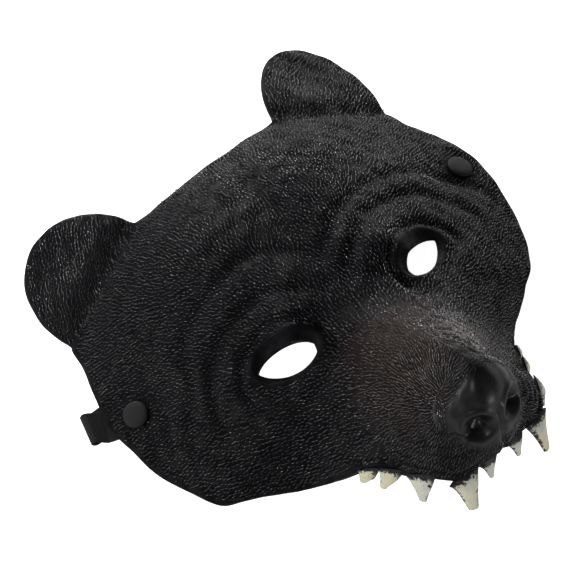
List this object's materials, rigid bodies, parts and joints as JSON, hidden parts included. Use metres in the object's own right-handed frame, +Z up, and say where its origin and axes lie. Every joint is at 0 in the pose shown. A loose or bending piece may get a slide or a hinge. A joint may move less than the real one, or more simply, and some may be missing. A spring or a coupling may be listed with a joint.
{
  "type": "bear mask",
  "caption": "Half mask of a bear's head in black moulded foam, with carved fur, open eyes, painted upper teeth and an elastic strap held by snap rivets.",
  "frame": {"origin": "middle of the bottom of the whole mask, on the surface that it lies on", "axes": "+Z up through the face, +Y towards the ears, -Y towards the muzzle, +X towards the snap whose strap is hidden in the picture"},
  "size_m": [0.2254, 0.2356, 0.1021],
  "materials": {
    "foam_skin": "black moulded foam, satin on the fur and glossy on the nose",
    "elastic": "ribbed black elastic",
    "snap": "smooth dark grey, satin",
    "tooth_paint": "cream paint with black smears at the root and the edges"
  },
  "bodies": {
    "root": {"mask_shell": "foam_skin", "elastic_strap": "elastic", "snap_left": "snap", "snap_right": "snap", "tooth_incisor_left": "tooth_paint", "tooth_incisor_right": "tooth_paint", "tooth_canine_left": "tooth_paint", "tooth_canine_right": "tooth_paint", "tooth_premolar_front_left": "tooth_paint", "tooth_premolar_front_right": "tooth_paint", "tooth_premolar_middle_left": "tooth_paint", "tooth_premolar_middle_right": "tooth_paint", "tooth_premolar_back_left": "tooth_paint", "tooth_premolar_back_right": "tooth_paint"}
  },
  "joints": []
}
